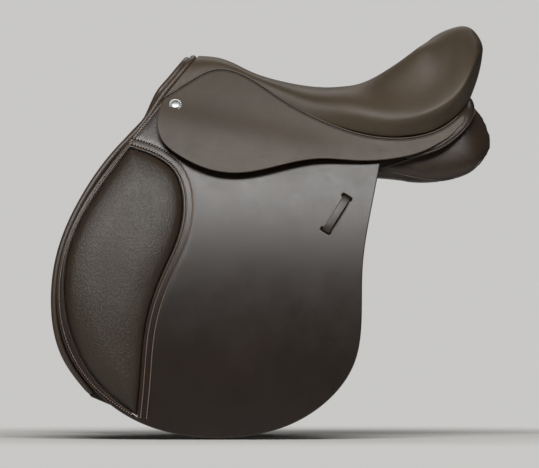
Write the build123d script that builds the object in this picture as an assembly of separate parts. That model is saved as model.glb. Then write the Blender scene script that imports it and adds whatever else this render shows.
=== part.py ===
from build123d import *
import math
import os

# English general purpose saddle, 17.5 inch seat, in millimetres.
# +X runs back from pommel to cantle, +Z is up, and the near (left) side of the horse is at -Y.
# The origin is on the middle plane, where the panels lie on the horse's back under the deepest seat point.
# Every leather layer on a side is a slice of one round barrel, so all the layers are concentric:
# a layer is given by its inner and outer radius, and by its outline seen from the side.

# ---- driving dimensions ----
BARREL_RADIUS = 915.0  # outer face of the flap, about an axis parallel to X
BARREL_Y = 703.0  # barrel axis for the near side; the far side is its mirror image
BARREL_Z = -425.0
LEATHER = 4.0  # flap and sweat flap leather
SKIRT_LEATHER = 3.5
STRAP_LEATHER = 3.0
LAYER_GAP = 1.0

FLAP = (BARREL_RADIUS - LEATHER, BARREL_RADIUS)
SKIRT = (919.0, 919.0 + SKIRT_LEATHER)
SKIRT_LOBE = (925.0, 925.0 + SKIRT_LEATHER)  # stands off the flap, over the stirrup bar
WELT = (923.0, 927.0)
KNEE_PAD = (905.0, 924.0)
SWEAT_FLAP = (882.0, 882.0 + LEATHER)
FRONT_ROLL = (887.0, 907.0)
FRONT_PANEL = (866.0, 881.5)
TREE_POINT = (888.0, 898.0)
POCKET = (887.0, 901.5)
BUCKLE_GUARD = (906.5, 909.5)
GIRTH_WEB = (902.5, 905.5)

FLAP_HINGE_Z = -50.0  # the flap folds just below the skirt
HINGE_SLIT = 0.5
SKIRT_FOLD = ((-262.0, 52.0), (40.0, -12.0))  # the skirt's lobe folds up along this line

BILLET_WIDTH = 25.0
BILLET_TOP = 25.0
BILLET_HINGE_Z = 15.0
BILLET_END = -368.0
BILLETS = {"front": (-112.0, 902.5), "middle": (-74.0, 898.5), "rear": (-36.0, 894.5)}
BILLET_HOLE_RADIUS = 2.75
BILLET_HOLE_FIRST = -350.0
BILLET_HOLE_PITCH = 25.0
BILLET_HOLES = 11

BAR_CENTRE = (-195.0, 20.0)  # stirrup bar, in the side view
BAR_RADIUS = 915.5
BAR_LENGTH = 80.0
BAR_HEIGHT = 12.0
BAR_THICK = 9.0
CATCH_PIN_RADIUS = 1.5
CATCH_CLEARANCE = 0.05
CATCH_LENGTH = 24.0
CATCH_THICK = 2.6

COVER = 2.5  # seat leather with its lining
OUTWARD = 300.0  # further out than any layer


# ---- geometry helpers ----
def barrel_y(radius, z):
    """Y of the near side of the barrel of that radius, at height z."""
    return BARREL_Y - math.sqrt(radius**2 - (z - BARREL_Z) ** 2)


def outline(*runs):
    """A closed side view face, drawn flat with z as its local y. A run of two points is a straight line."""
    return Face(Wire([Line(*run) if len(run) == 2 else Spline(*run) for run in runs]))


def polygon(points):
    return Face(Wire(Polyline(*points, close=True)))


def rectangle(x0, x1, z0, z1):
    return polygon([(x0, z0), (x1, z0), (x1, z1), (x0, z1)])


def turned_rectangle(centre, length, width, degrees):
    """A side view rectangle whose length is turned from +X towards +Z."""
    c, s = math.cos(math.radians(degrees)), math.sin(math.radians(degrees))
    corners = [(-length, -width), (length, -width), (length, width), (-length, width)]
    return polygon([(centre[0] + (a * c - b * s) / 2, centre[1] + (a * s + b * c) / 2) for a, b in corners])


def outward(face):
    """The prism that a side view face sweeps from the middle plane out past the near side."""
    upright = Location((0, 0, 0), (90, 0, 0)) * face
    return extrude(upright, amount=OUTWARD, dir=(0, -1, 0))


def barrel(radius):
    turned = Location((0, BARREL_Y, BARREL_Z), (0, 90, 0))
    return turned * Cylinder(radius, 1400)


def layer(face, radii):
    """The near side leather layer between two barrel radii, cut to a side view face."""
    return outward(face) & (barrel(radii[1]) - barrel(radii[0]))


def far(shape):
    return mirror(shape, about=Plane.XZ)


def ruled(sections):
    return Solid.make_loft([Wire(Polyline(*points, close=True)) for points in sections], ruled=True)


def write(name, shape):
    solids = shape.solids()
    export_step(solids[0] if len(solids) == 1 else Compound(children=solids), f"parts/{name}.step")


def write_pair(name, near):
    write(f"near_{name}", near)
    write(f"far_{name}", far(near))


# ---- outlines, seen from the side ----
FLAP_FRONT = [(-247, 77), (-299, 12), (-361, -74), (-394, -148), (-403, -218), (-385, -299)]
FLAP_BOTTOM = [(-343, -358), (-281, -401), (-210, -421), (-139, -423), (-68, -408), (-5, -370)]
FLAP_BACK = [(35, -315), (46, -252), (48, -170), (61, -86), (75, -15)]
FLAP_TOP = [(75, -15), (70, 6), (20, 16), (-50, 40), (-110, 60), (-170, 72), (-247, 77)]

SKIRT_TOP = [(-247, 75), (-222, 90), (-192, 109), (-166, 118), (-133, 111), (-74, 74), (-15, 42), (44, 21)]
SKIRT_TAIL = [(104, 14), (150, 21), (182, 38), (198, 48)]
SKIRT_UNDER = [(198, 48), (199, 40), (178, 19), (148, 1), (96, -13), (44, -16), (-15, -13), (-74, -23)]
SKIRT_LOBE_EDGE = [(-133, -34), (-178, -29), (-222, -9), (-249, 15), (-256, 44), (-247, 75)]

PAD_FRONT = [(-296, 4), (-350, -71), (-383, -140), (-392, -215), (-375, -290), (-335, -352), (-284, -393)]
PAD_BACK = [(-284, -393), (-279, -340), (-272, -265), (-250, -190), (-227, -137), (-217, -77), (-232, -30)]
PAD_TOP = [(-232, -30), (-262, -8), (-296, 4)]

SWEAT_FRONT = [(-262, 62), (-310, 11), (-370, -72), (-402, -148), (-411, -222), (-394, -303), (-352, -364)]
SWEAT_BOTTOM = [(-352, -364), (-300, -385), (-200, -408), (-120, -408), (-40, -380), (15, -320)]
SWEAT_BACK = [(15, -320), (34, -250), (38, -170), (50, -86), (62, -10)]
SWEAT_TOP = [(62, -10), (0, 12), (-150, 18), (-235, 40), (-262, 62)]


def closed(*runs):
    """Joins runs of points into one closed outline, carrying each run on from the last one's end."""
    linked = [runs[0]]
    for run in runs[1:]:
        start = linked[-1][-1]
        linked.append(run if run[0] == start else [start, *run])
    if linked[-1][-1] != linked[0][0]:
        linked[-1] = [*linked[-1], linked[0][0]]
    return outline(*linked)


def flap_face():
    return closed([*FLAP_FRONT, *FLAP_BOTTOM, *FLAP_BACK], FLAP_TOP)


def knee_pad_face():
    return closed(PAD_FRONT, PAD_BACK, PAD_TOP)


def skirt_face():
    return closed([*SKIRT_TOP, *SKIRT_TAIL], [*SKIRT_UNDER, *SKIRT_LOBE_EDGE])


def sweat_flap_face():
    return closed(SWEAT_FRONT, SWEAT_BOTTOM, SWEAT_BACK, SWEAT_TOP)


# ---- tree ----
# Rail stations: x, middle y, top z.
RAIL = [
    (-204, 28, 98),
    (-180, 34, 94),
    (-120, 36, 78),
    (-50, 42, 56),
    (30, 54, 46),
    (110, 60, 56),
    (165, 54, 84),
    (196, 34, 118),
]
RAIL_WIDTH = 26.0
RAIL_THICK = 10.0


def rail_at(x):
    """Middle y and top z of the tree's rail at x."""
    for (xa, ya, za), (xb, yb, zb) in zip(RAIL, RAIL[1:]):
        if xa <= x <= xb:
            t = (x - xa) / (xb - xa)
            return ya + (yb - ya) * t, za + (zb - za) * t
    raise ValueError(f"no rail at x {x}")


def rail():
    half = RAIL_WIDTH / 2
    sections = []
    for x, y, z in RAIL:
        low = z - RAIL_THICK
        sections.append([(x, -y - half, low), (x, -y + half, low), (x, -y + half, z), (x, -y - half, z)])
    return ruled(sections)


# The pommel arch lies in a plane that leans forward going down.
ARCH_TOP = (-190.0, 0.0, 128.0)
ARCH_DOWN = (-0.634, 0.0, -0.773)
ARCH_FRONT = (-0.773, 0.0, 0.634)


def arch_plane(lift=0.0, front=0.0):
    """Plane with local x along +Y and local y down the arch, raised by lift and moved forward by front."""
    shift = [front * f - lift * d for f, d in zip(ARCH_FRONT, ARCH_DOWN)]
    origin = tuple(a + b for a, b in zip(ARCH_TOP, shift))
    return Plane(origin=origin, x_dir=(0, 1, 0), z_dir=ARCH_FRONT)


def arch_curve(points):
    """A curve over the arch from the near side to the far side, from (half width, drop) points going down."""
    near = [(-w, d) for w, d in reversed(points)]
    return Spline(*near, (0, 0), *points)


def arch_band(outer, inner, thick, drop, lift, front):
    """An arch shaped plate between two curves that start at the crown, the inner one lower by drop."""
    over = arch_curve(outer)
    under = Location((0, drop)) * arch_curve(inner)
    ends = [Line(over @ 0, under @ 0), Line(over @ 1, under @ 1)]
    face = Face(Wire([over, under, *ends]))
    return extrude(arch_plane(lift, front) * face, amount=thick, dir=ARCH_FRONT)


def arch_opening(outline_points, lift, front, thick):
    """The space under an arch curve, as deep as thick."""
    over = arch_curve(outline_points)
    face = Face(Wire([over, Line(over @ 1, over @ 0)]))
    return extrude(arch_plane(lift, front) * face, amount=thick, dir=ARCH_FRONT)


HEAD_OUTER = [(20, 4), (36, 18), (48, 40), (60, 72)]
HEAD_INNER = [(14, 5), (24, 20), (33, 42), (42, 66)]


def head():
    return arch_band(HEAD_OUTER, HEAD_INNER, thick=26, drop=12, lift=-16, front=-24)


PLATE_OUTER = [(20, 4), (35, 18), (45, 36), (52, 54)]
PLATE_INNER = [(14, 5), (24, 20), (31, 34), (37, 48)]


def gullet_plate():
    return arch_band(PLATE_OUTER, PLATE_INNER, thick=3, drop=12, lift=-17, front=2.2)


def plate_rivets():
    places = [(-42, 49), (-28, 25), (28, 25), (42, 49)]
    plane = arch_plane(-17, 2.2 + 3.05)
    return Compound(children=[plane * Location((y, v, 1)) * Cylinder(4, 2) for y, v in places])


def tree_point():
    """The near leg of the tree, from the head down into the point pocket."""
    back = [(-224, 50), (-210, 10), (-220, -40)]
    front = [(-246, -40), (-238, 10), (-245, 58)]
    return layer(polygon([*back, *front]), TREE_POINT)


def cantle():
    """The raised plate at the back that joins the two rails."""
    over = Spline((-50, 78), (-42, 128), (0, 152), (42, 128), (50, 78))
    under = Spline((-26, 84), (-20, 106), (0, 118), (20, 106), (26, 84))
    ends = [Line(over @ 0, under @ 0), Line(over @ 1, under @ 1)]
    plane = Plane(origin=(192, 0, 0), x_dir=(0, 1, 0), z_dir=(1, 0, 0))
    return extrude(plane * Face(Wire([over, under, *ends])), amount=12, dir=(1, 0, 0))


def tree():
    body = head() + cantle()
    for piece in (rail(), tree_point()):
        body = body + piece + far(piece)
    return body


# ---- seat ----
# Stations from pommel to cantle: x, crown z, shoulder (y, z), rim (y, z), welt (y, z).
SEAT = [
    (-252, 141, (34, 127), (57, 96), (65, 76)),
    (-222, 141, (30, 131), (48, 108), (54, 92)),
    (-190, 141, (22, 136), (37, 124), (41, 112)),
    (-160, 137, (18, 134), (31, 128), (34, 121)),
    (-120, 119, (26, 117), (42, 113), (45, 106)),
    (-74, 104, (38, 101), (60, 90), (63, 78)),
    (-20, 95, (50, 88), (80, 68), (83, 47)),
    (30, 98, (64, 88), (98, 58), (93, 29)),
    (90, 125, (82, 101), (110, 56), (99, 19)),
    (140, 158, (84, 124), (114, 70), (98, 24)),
    (180, 181, (76, 146), (105, 88), (89, 41)),
    (205, 181, (64, 148), (90, 104), (72, 64)),
    (217, 171, (48, 144), (68, 114), (52, 88)),
    (224, 156, (24, 146), (34, 132), (24, 118)),
]
COVER_CUT_ANGLE = 39.35  # lean of the seat's front edge


def seat_section(x, crown, shoulder, rim, welt, inset, deeper):
    """A closed section across the seat, drawn in by inset and with its underside lowered by deeper."""
    half = [(welt[0] - inset, welt[1]), (rim[0] - inset, rim[1])]
    half.append((shoulder[0] - inset / 2, shoulder[1] - inset))
    near = [(x, -y, z) for y, z in half]
    over = Spline(*near, (x, 0, crown - inset), *[(x, y, z) for y, z in reversed(half)])
    if not deeper:
        return Wire([over, Line(over @ 1, over @ 0)])
    low_near = (x, -half[0][0], half[0][1] - deeper)
    low_far = (x, half[0][0], half[0][1] - deeper)
    return Wire([over, *Polyline(over @ 1, low_far, low_near, over @ 0).edges()])


def seat_body(inset, deeper=0.0):
    """The seat's outside shape drawn in by inset, cut off along the lean of the pommel arch."""
    body = Solid.make_loft([seat_section(*station, inset, deeper) for station in SEAT], ruled=True)
    cut = Location((-197, 0, 139), (0, COVER_CUT_ANGLE, 0)) * Location((-100 + inset, 0, 0))
    return body - cut * Box(200, 400, 600)


def seat_core():
    """The space under the seat foam that the tree and its webbing fill."""
    sections = []
    for x, _, z in [(-260, 0, 100), (-186, 0, 96), *RAIL[1:-1], (196, 0, 118), (230, 0, 150)]:
        top = z + 9
        sections.append([(x, -150, -100), (x, 150, -100), (x, 150, top), (x, -150, top)])
    return ruled(sections)


def seat_room(inset, deeper, back_wall):
    return seat_body(inset, deeper) & Location((-50 - back_wall, 0, 0)) * Box(540, 400, 600)


def seat_cover():
    return seat_body(0) - seat_room(COVER, 10.0, 4.0) - arch_opening(HEAD_INNER, -28, 0, 40)


def seat_foam():
    return seat_room(COVER + 0.4, 0.0, 5.0) - seat_core() - tree_clearance()


def tree_clearance():
    """Room in the foam for the head and the cantle plate."""
    cantle_room = Location((198, 0, 100)) * Box(16, 130, 110)
    head_room = arch_opening([(24, 3), (42, 17), (54, 40), (66, 74)], -13, -28, 60)
    return head_room + cantle_room


def web(x0, x1, half_width, lift, thick):
    """A strip of webbing strained over the rails between two stations along the tree."""
    sections = []
    stations = [x0, *[x for x, _, _ in RAIL if x0 < x < x1], x1]
    for x in stations:
        low = rail_at(x)[1] + lift
        y = half_width
        sections.append([(x, -y, low), (x, y, low), (x, y, low + thick), (x, -y, low + thick)])
    return ruled(sections)


def cross_webs():
    return Compound(children=[web(x, x + 44, 50, 0.4, 2.0) for x in (-116, -48)])


def lengthwise_web():
    return web(-160, 188, 20, 3.2, 2.5)


def tree_nails():
    """Clout nails that hold the webbing down on the head end of each rail."""
    heads = []
    for x in (-152, -140):
        for y in (-16, 16):
            z = rail_at(x)[1] + 3.2 + 2.5
            heads.append(Location((x, y, z + 1.4)) * Cylinder(3, 1.2))
    return Compound(children=heads)


def welt():
    """The piping in the seam between seat and skirt."""
    top = [*SKIRT_TOP[1:], *SKIRT_TAIL]
    low = [(x, z - 4) for x, z in top]
    return layer(outline(top, [top[-1], low[-1]], low[::-1], [low[0], top[0]]), WELT)


# ---- front edge rolls ----
ROLL_OUTER = [(21, 6), (36, 22), (47, 45), (61, 76)]


def arch_roll(front):
    """A rolled leather edge over the pommel arch."""
    inner = [(w - 6, d + 3) for w, d in ROLL_OUTER]
    return arch_band(ROLL_OUTER, inner, thick=8, drop=9, lift=4, front=front)


def front_roll():
    """The rolled front edge of the sweat flap, which shows in front of the flap."""
    inner = [(x + 10, z - 3) for x, z in SWEAT_FRONT]
    low_end = [SWEAT_FRONT[-1], inner[-1]]
    high_end = [inner[0], SWEAT_FRONT[0]]
    return layer(outline(SWEAT_FRONT, low_end, inner[::-1], high_end), FRONT_ROLL)


# ---- skirt and saddle nail ----
def beyond_fold(slit):
    """The side view region below the skirt's fold line, less a slit along it."""
    (xa, za), (xb, zb) = SKIRT_FOLD
    length = math.hypot(xb - xa, zb - za)
    ux, uz = (xb - xa) / length, (zb - za) / length
    start = (xa - 60 * ux + slit * uz, za - 60 * uz - slit * ux)
    end = (xb + 60 * ux + slit * uz, zb + 60 * uz - slit * ux)
    across, down = 260 * uz, -260 * ux
    return polygon([start, end, (end[0] + across, end[1] + down), (start[0] + across, start[1] + down)])


def skirt():
    return layer(skirt_face() - beyond_fold(-HINGE_SLIT), SKIRT)


def skirt_lobe():
    return layer(skirt_face() & beyond_fold(HINGE_SLIT), SKIRT_LOBE)


def tilted_plane(x, z, radius):
    """Plane that lies on the barrel: local x along +X, local y up the leather, local z straight out of it."""
    slope = math.asin((z - BARREL_Z) / radius)
    return Plane(
        origin=(x, barrel_y(radius, z), z),
        x_dir=(1, 0, 0),
        z_dir=(0, -math.cos(slope), math.sin(slope)),
    )


BADGE_AT = (-229.0, 67.0)


def badge():
    """The saddle nail: a domed disc on a shank that holds the skirt's front corner."""
    plane = tilted_plane(*BADGE_AT, SKIRT[1] + 0.2)
    disc = Location((0, 0, 1)) * Cylinder(10, 2)
    dome = Location((0, 0, -18)) * Sphere(22) & Location((0, 0, 3)) * Cylinder(8, 2.4)
    return plane * (disc + dome)


# ---- flap ----
def below(z):
    return rectangle(-500, 200, -600, z)


def flap_window():
    """The window in the flap round the stirrup bar."""
    return rectangle(-242, -128, -2, 50)


def flap_upper():
    face = flap_face() - knee_pad_face() - below(FLAP_HINGE_Z + HINGE_SLIT) - flap_window()
    return layer(face, FLAP)


KEEPER_CENTRE = (9.0, -95.0)
KEEPER_LENGTH = 59.0
KEEPER_WIDTH = 12.0
KEEPER_TURN = 57.7
KEEPER_STRAP = 2.2
SLOT_WIDTH = 3.6
SLOT_LENGTH = 16.0


def keeper_end(sign, inward=0.0):
    """Side view middle of a keeper slot: sign 1 is the upper slot."""
    reach = sign * (KEEPER_LENGTH / 2 - inward)
    turn = math.radians(KEEPER_TURN)
    return KEEPER_CENTRE[0] + reach * math.cos(turn), KEEPER_CENTRE[1] + reach * math.sin(turn)


def keeper_slots():
    across = KEEPER_TURN + 90
    return [turned_rectangle(keeper_end(sign), SLOT_LENGTH, SLOT_WIDTH, across) for sign in (-1, 1)]


def keeper():
    """A strap threaded out of one slot and into the other, with a stitched tab behind the flap at each end."""
    top, back = BARREL_RADIUS + 5.2, BARREL_RADIUS - 8.2
    strap = turned_rectangle(KEEPER_CENTRE, KEEPER_LENGTH + KEEPER_STRAP, KEEPER_WIDTH, KEEPER_TURN)
    body = layer(strap, (top - KEEPER_STRAP, top))
    for sign in (-1, 1):
        post = turned_rectangle(keeper_end(sign), KEEPER_STRAP, KEEPER_WIDTH, KEEPER_TURN)
        tab = turned_rectangle(keeper_end(sign, 5), 12, KEEPER_WIDTH, KEEPER_TURN)
        body = body + layer(post, (back, top)) + layer(tab, (back, back + KEEPER_STRAP))
    return body


def flap_lower():
    face = (flap_face() - knee_pad_face() - keeper_slots()) & below(FLAP_HINGE_Z - HINGE_SLIT)
    return layer(face, FLAP)


def insert_face():
    """The padded insert, a little smaller than the opening that it fills in the flap."""
    smaller = offset(knee_pad_face(), amount=-0.5).face()
    steps = [i / 12 for i in range(13)]
    return Face(Wire([Spline(*[edge @ t for t in steps]) for edge in smaller.edges()]))


def knee_pad_upper():
    return layer(insert_face() - below(FLAP_HINGE_Z + 4), KNEE_PAD)


def knee_pad():
    return layer(insert_face() & below(FLAP_HINGE_Z - 17), KNEE_PAD)


# ---- girth straps ----
def billet(x, radius):
    half = BILLET_WIDTH / 2
    tip = BILLET_END - 8
    top = [(x - half, BILLET_TOP), (x + half, BILLET_TOP)]
    low = [(x + half, BILLET_END), (x + 4, tip), (x - 4, tip), (x - half, BILLET_END)]
    strap = layer(polygon([*top, *low]), (radius, radius + STRAP_LEATHER))
    for k in range(BILLET_HOLES):
        z = BILLET_HOLE_FIRST + k * BILLET_HOLE_PITCH
        strap = strap - tilted_plane(x, z, radius + STRAP_LEATHER / 2) * Cylinder(BILLET_HOLE_RADIUS, 12)
    return strap


def girth_web():
    low = BILLET_TOP + 2.5
    return layer(polygon([(-130, low), (-18, low), (-18, 56), (-130, 66)]), GIRTH_WEB)


def buckle_guard():
    corners = [(-140, -20), (-17, -20), (-17, -175), (-31, -195), (-126, -195), (-140, -175)]
    return layer(polygon(corners), BUCKLE_GUARD)


def point_pocket():
    """A leather pouch on the sweat flap that holds the end of the tree's point."""
    pouch = layer(rectangle(-256, -208, -50, -8), POCKET)
    room = layer(rectangle(-252, -211, -45, 0), (POCKET[0] + 0.5, 899.0))
    return pouch - room


# ---- stirrup bar ----
def bar_plane():
    return tilted_plane(*BAR_CENTRE, BAR_RADIUS)


BAR_FOOT = -17.0  # local z of the foot plate, which is riveted to the tree


def stirrup_bar():
    """A forged bar, open to the rear, on an arm from a foot plate on the tree."""
    half = BAR_LENGTH / 2
    bar = Box(BAR_LENGTH, BAR_HEIGHT, BAR_THICK)
    arm = Location((-half + 5, 0, (BAR_FOOT + BAR_THICK / 2) / 2)) * Box(10, 20, BAR_THICK / 2 - BAR_FOOT)
    foot = Location((-half + 12, 0, BAR_FOOT + 1.7)) * Box(28, 44, 3.4)
    slot = Location((half - 5, 0, 0)) * Box(10.2, BAR_HEIGHT + 1, CATCH_THICK + 0.6)
    pin_hole = Location((half - 5, 0, 0)) * Cylinder(CATCH_PIN_RADIUS, BAR_THICK + 1)
    return bar_plane() * (fillet((bar + arm + foot).edges().filter_by(Axis.Z), 1.5) - slot - pin_hole)


def catch_pin():
    return bar_plane() * Location((BAR_LENGTH / 2 - 5, 0, 0)) * Cylinder(CATCH_PIN_RADIUS, BAR_THICK - 0.4)


def stirrup_catch():
    """The thumb piece at the bar's open end, which swings up to close it."""
    x = BAR_LENGTH / 2 - 5
    knuckle = Location((x, 0, 0)) * Cylinder(4.6, CATCH_THICK)
    blade = Location((x + CATCH_LENGTH / 2, 0, 0)) * Box(CATCH_LENGTH, 9, CATCH_THICK)
    thumb = Location((x + CATCH_LENGTH - 4, 0, 0)) * Box(8, 10, 5.4)
    eye = Location((x, 0, 0)) * Cylinder(CATCH_PIN_RADIUS + CATCH_CLEARANCE, 10)
    return bar_plane() * (knuckle + blade + thumb - eye)


def bar_rivets():
    place = bar_plane() * Location((-BAR_LENGTH / 2 + 17, 0, BAR_FOOT + 4.4))
    return Compound(children=[place * Location((0, y, 0)) * Cylinder(3.5, 2) for y in (-15, 15)])


# ---- panels ----
# Stations along the near panel: x, then inner top, outer top, outer bottom and inner bottom (y, z).
PANEL = [
    (-214, (-40, 52), (-54, 44), (-88, -34), (-62, -26)),
    (-120, (-30, 46), (-58, 40), (-100, -44), (-40, 2)),
    (-20, (-28, 30), (-66, 32), (-112, -48), (-34, -2)),
    (80, (-27, 30), (-90, 12), (-117, -40), (-34, -4)),
    (160, (-26, 46), (-98, 22), (-113, -44), (-34, -8)),
    (208, (-28, 60), (-84, 38), (-94, -30), (-36, -2)),
    (236, (-36, 40), (-64, 30), (-70, 0), (-40, 8)),
]


def panel():
    body = ruled([[(x, *corner) for corner in corners] for x, *corners in PANEL])
    body = body - layer(rectangle(-450, 78, -450, 80), (FRONT_PANEL[1], 1000.0))
    front_face = closed(
        [(-252, 28), (-305, -22), (-355, -90), (-385, -160), (-392, -222), (-372, -290)],
        [(-300, -320), (-180, -300), (-120, -200)],
        [(-60, -90), (-60, -10)],
        [(-200, 10), (-252, 28)],
    )
    return body + layer(front_face, FRONT_PANEL)


def gusset():
    """The leather wedge that makes the back of the panel deep."""
    sections = []
    for x, _, top, bottom, _ in PANEL[3:]:
        drop = (bottom[0] - top[0], bottom[1] - top[1])
        high = (top[0] + 0.2 * drop[0], top[1] + 0.2 * drop[1])
        low = (top[0] + 0.85 * drop[0], top[1] + 0.85 * drop[1])
        near, out = 0.5, 3.0
        sections.append([
            (x, high[0] - near, high[1]),
            (x, high[0] - out, high[1]),
            (x, low[0] - out, low[1]),
            (x, low[0] - near, low[1]),
        ])
    return ruled(sections)


def panel_bridge():
    """The leather that joins the two panels over the channel at the back."""
    return Location((188, 0, 42)) * Box(30, 51, 3)


def cantle_facing():
    """The leather strip behind the cantle, between the seat and the panels."""
    over = Spline((-76, 54), (-44, 76), (0, 84), (44, 76), (76, 54))
    under = Spline((-71, 47), (-38, 64), (0, 71), (38, 64), (71, 47))
    ends = [Line(over @ 0, under @ 0), Line(over @ 1, under @ 1)]
    plane = Plane(origin=(209, 0, 0), x_dir=(0, 1, 0), z_dir=(1, 0, 0))
    return extrude(plane * Face(Wire([over, under, *ends])), amount=3, dir=(1, 0, 0))


def build():
    os.makedirs("parts", exist_ok=True)
    write("tree", tree())
    write("gullet_plate", gullet_plate())
    write("plate_rivets", plate_rivets())
    write("cross_webs", cross_webs())
    write("lengthwise_web", lengthwise_web())
    write("tree_nails", tree_nails())
    write("seat_foam", seat_foam())
    write("seat_cover", seat_cover())
    write("flap_arch_roll", arch_roll(13.2))
    write("panel_arch_roll", arch_roll(21.7))
    write("panel_bridge", panel_bridge())
    write("cantle_facing", cantle_facing())
    pairs = {
        "skirt_welt": welt(),
        "skirt": skirt(),
        "skirt_lobe": skirt_lobe(),
        "badge": badge(),
        "flap_upper": flap_upper(),
        "flap": flap_lower(),
        "knee_pad_upper": knee_pad_upper(),
        "knee_pad": knee_pad(),
        "keeper": keeper(),
        "girth_web": girth_web(),
        "buckle_guard": buckle_guard(),
        "sweat_flap": layer(sweat_flap_face(), SWEAT_FLAP),
        "front_roll": front_roll(),
        "point_pocket": point_pocket(),
        "panel": panel(),
        "gusset": gusset(),
        "stirrup_bar": stirrup_bar(),
        "bar_rivets": bar_rivets(),
        "catch_pin": catch_pin(),
        "stirrup_catch": stirrup_catch(),
    }
    for name, (x, radius) in BILLETS.items():
        pairs[f"{name}_billet"] = billet(x, radius)
    for name, near in pairs.items():
        write_pair(name, near)


build()
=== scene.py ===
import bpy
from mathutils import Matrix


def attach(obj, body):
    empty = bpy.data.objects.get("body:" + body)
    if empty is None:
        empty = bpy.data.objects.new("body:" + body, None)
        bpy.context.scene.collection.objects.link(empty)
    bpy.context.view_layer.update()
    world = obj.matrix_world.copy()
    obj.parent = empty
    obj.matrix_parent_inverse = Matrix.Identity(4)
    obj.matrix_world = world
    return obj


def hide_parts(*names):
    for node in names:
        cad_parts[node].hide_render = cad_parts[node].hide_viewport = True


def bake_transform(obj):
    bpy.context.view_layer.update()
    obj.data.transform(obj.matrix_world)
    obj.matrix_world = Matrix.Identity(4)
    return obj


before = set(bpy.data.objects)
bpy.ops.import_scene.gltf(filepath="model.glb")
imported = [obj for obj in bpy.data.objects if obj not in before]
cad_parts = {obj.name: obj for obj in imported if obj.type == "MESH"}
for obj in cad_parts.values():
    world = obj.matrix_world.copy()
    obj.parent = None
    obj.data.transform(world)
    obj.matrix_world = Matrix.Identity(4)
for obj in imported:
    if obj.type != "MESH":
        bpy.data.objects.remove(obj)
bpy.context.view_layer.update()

import math

import bpy
import numpy as np
from mathutils import Vector
from mathutils.bvhtree import BVHTree
from mathutils.geometry import delaunay_2d_cdt
from mathutils.kdtree import KDTree

# An English saddle. Numbers are in millimetres, as in the CAD source, and meshes are made in metres.
# A side view point is (x, z). The near side is at -Y, and each far piece is the mirror image of its near one.
MM = 0.001

# ---- the CAD's driving dimensions ----
BARREL_Y, BARREL_Z = 703.0, -425.0
FLAP = (911.0, 915.0)
SKIRT = (919.0, 922.5)
LOBE_RISE = 6.0  # the skirt stands off the flap over the stirrup bar
KNEE_PAD = (905.0, 924.0)
SWEAT_FLAP = (882.0, 886.0)
FRONT_PANEL = (866.0, 881.5)
FLAP_HINGE_Z = -50.0
SKIRT_FOLD = ((-262.0, 52.0), (40.0, -12.0))
BADGE_AT = (-229.0, 67.0)
KEEPER_CENTRE = (9.0, -95.0)
KEEPER_LENGTH, KEEPER_TURN = 59.0, 57.7
ARCH_TOP = (-190.0, 0.0, 128.0)
ARCH_DOWN = (-0.634, 0.0, -0.773)
ARCH_FRONT = (-0.773, 0.0, 0.634)

FLAP_FRONT = [(-247, 77), (-299, 12), (-361, -74), (-394, -148), (-403, -218), (-385, -299)]
FLAP_BOTTOM = [(-343, -358), (-281, -401), (-210, -421), (-139, -423), (-68, -408), (-5, -370)]
FLAP_BACK = [(35, -315), (46, -252), (48, -170), (61, -86), (75, -15)]
FLAP_TOP = [(75, -15), (70, 6), (20, 16), (-50, 40), (-110, 60), (-170, 72), (-247, 77)]
SKIRT_TOP = [(-247, 75), (-222, 90), (-192, 109), (-166, 118), (-133, 111), (-74, 74), (-15, 42), (44, 21)]
SKIRT_TAIL = [(104, 14.5), (150, 22.5), (181, 39), (193, 49.5)]
SKIRT_UNDER = [(193, 49.5), (198, 51), (199.5, 45.5), (192, 34.5), (181, 23), (164, 11.5), (140, -1)]
SKIRT_UNDER += [(96, -12.5), (44, -16), (-15, -13), (-74, -23)]
SKIRT_LOBE_EDGE = [(-133, -34), (-178, -29), (-222, -9), (-249, 15), (-256, 44), (-247, 75)]
PAD_FRONT = [(-296, 4), (-350, -71), (-383, -140), (-392, -215), (-375, -290), (-335, -352), (-284, -393)]
PAD_BACK = [(-284, -393), (-279, -340), (-272, -265), (-250, -190), (-227, -137), (-217, -77), (-232, -30)]
PAD_TOP = [(-232, -30), (-262, -8), (-296, 4)]
SWEAT_FRONT = [(-262, 62), (-310, 11), (-370, -72), (-402, -148), (-411, -222), (-394, -303), (-352, -364)]
SWEAT_BOTTOM = [(-352, -364), (-300, -385), (-200, -408), (-120, -408), (-40, -380), (15, -320)]
SWEAT_BACK = [(15, -320), (34, -250), (38, -170), (50, -86), (62, -10)]
SWEAT_TOP = [(62, -10), (0, 12), (-150, 18), (-235, 40), (-262, 62)]

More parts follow.
